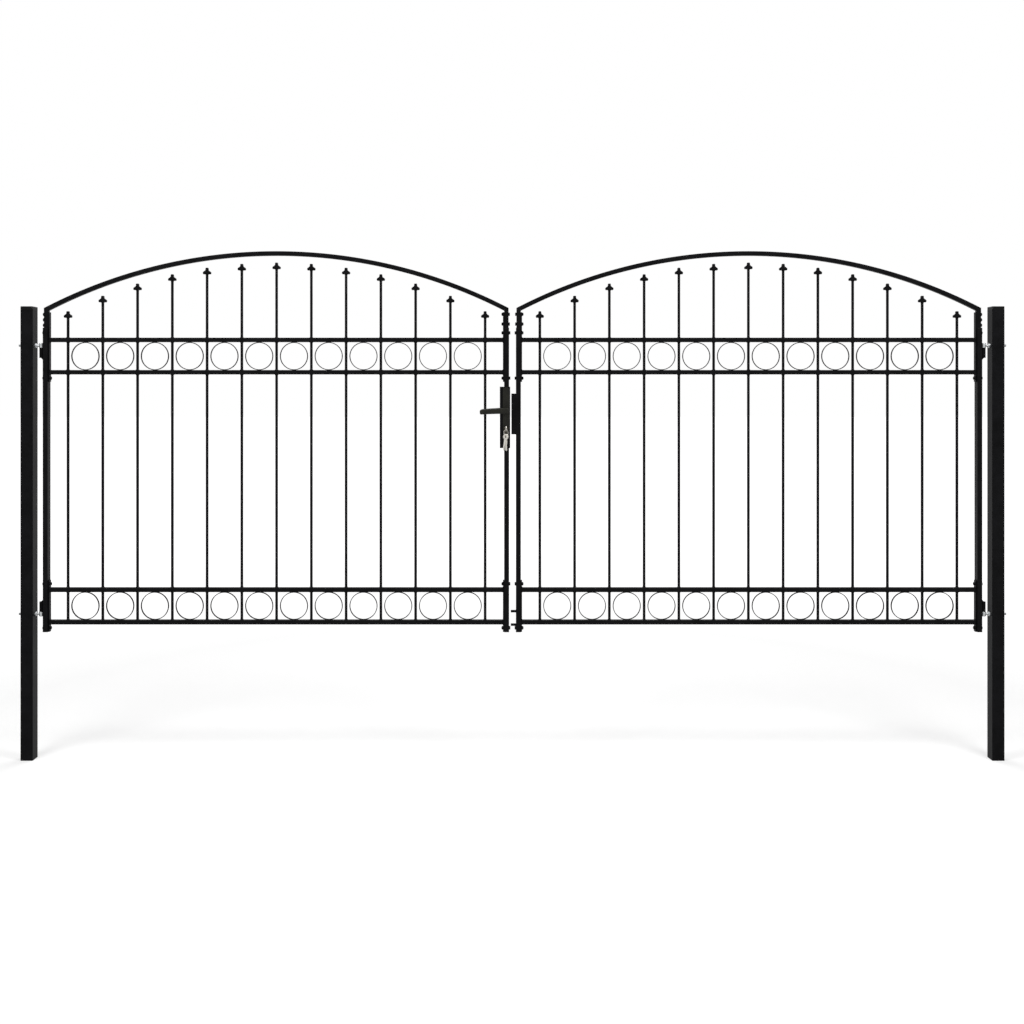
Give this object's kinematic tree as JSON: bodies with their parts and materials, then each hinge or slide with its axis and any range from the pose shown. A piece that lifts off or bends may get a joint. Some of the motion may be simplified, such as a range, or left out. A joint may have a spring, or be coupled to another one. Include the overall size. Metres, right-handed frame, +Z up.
{
  "type": "double-leaf garden gate",
  "caption": "Black steel double garden gate with arched leaves, ring bands, spear pickets, eye-bolt hinges, lever lock and two square posts",
  "frame": {"origin": "middle of the foot of the left post, on the flat end of the tube", "axes": "+Z up, +X along the closed gate from the left post to the right post, the front faces -Y"},
  "size_m": [4.032, 0.1326, 2.073],
  "materials": {
    "black_coat": "satin black powder coat on steel",
    "black_plastic": "matt black moulded plastic",
    "zinc_steel": "zinc-plated steel",
    "nickel": "nickel-plated brass"
  },
  "bodies": {
    "posts": {"left_post": "black_coat", "left_post_cap": "black_plastic", "left_eye_bolts": "zinc_steel", "left_hinge_nuts": "zinc_steel", "right_post": "black_coat", "right_post_cap": "black_plastic", "right_eye_bolts": "zinc_steel", "right_hinge_nuts": "zinc_steel"},
    "left_leaf": {"left_hinge_brackets": "black_coat", "left_outer_stile": "black_coat", "left_inner_stile": "black_coat", "left_stile_plugs": "black_plastic", "left_arch": "black_coat", "left_lower_band_bottom_rail": "black_coat", "left_lower_band_top_rail": "black_coat", "left_upper_band_bottom_rail": "black_coat", "left_upper_band_top_rail": "black_coat", "left_pickets": "black_coat", "left_finials": "black_coat", "left_lower_rings": "black_coat", "left_upper_rings": "black_coat", "left_lower_end_plates": "black_coat", "left_upper_end_plates": "black_coat", "lock_case": "black_coat", "front_lock_plate": "black_coat", "back_lock_plate": "black_coat", "lock_cylinder": "nickel", "lock_key": "nickel", "hanging_keys": "nickel"},
    "right_leaf": {"right_hinge_brackets": "black_coat", "right_outer_stile": "black_coat", "right_inner_stile": "black_coat", "right_stile_plugs": "black_plastic", "right_arch": "black_coat", "right_lower_band_bottom_rail": "black_coat", "right_lower_band_top_rail": "black_coat", "right_upper_band_bottom_rail": "black_coat", "right_upper_band_top_rail": "black_coat", "right_pickets": "black_coat", "right_finials": "black_coat", "right_lower_rings": "black_coat", "right_upper_rings": "black_coat", "right_lower_end_plates": "black_coat", "right_upper_end_plates": "black_coat", "strike_box": "black_coat", "closing_studs": "black_coat"},
    "lever": {"lever_handles": "black_plastic"}
  },
  "joints": [
    {"name": "left_leaf_hinge", "type": "hinge", "parent": "posts", "child": "left_leaf", "pos_m": [0.0505, 0, 1.14], "axis": [0, 0, 1], "range_deg": [0, 90]},
    {"name": "right_leaf_hinge", "type": "hinge", "parent": "posts", "child": "right_leaf", "pos_m": [3.8995, 0, 1.14], "axis": [0, 0, -1], "range_deg": [0, 90]},
    {"name": "lever_spindle", "type": "hinge", "parent": "left_leaf", "child": "lever", "pos_m": [1.949, 0, 1.422], "axis": [0, -1, 0], "range_deg": [0, 40], "stiffness_Nm_per_rad": 1, "springref_deg": -34.38}
  ]
}
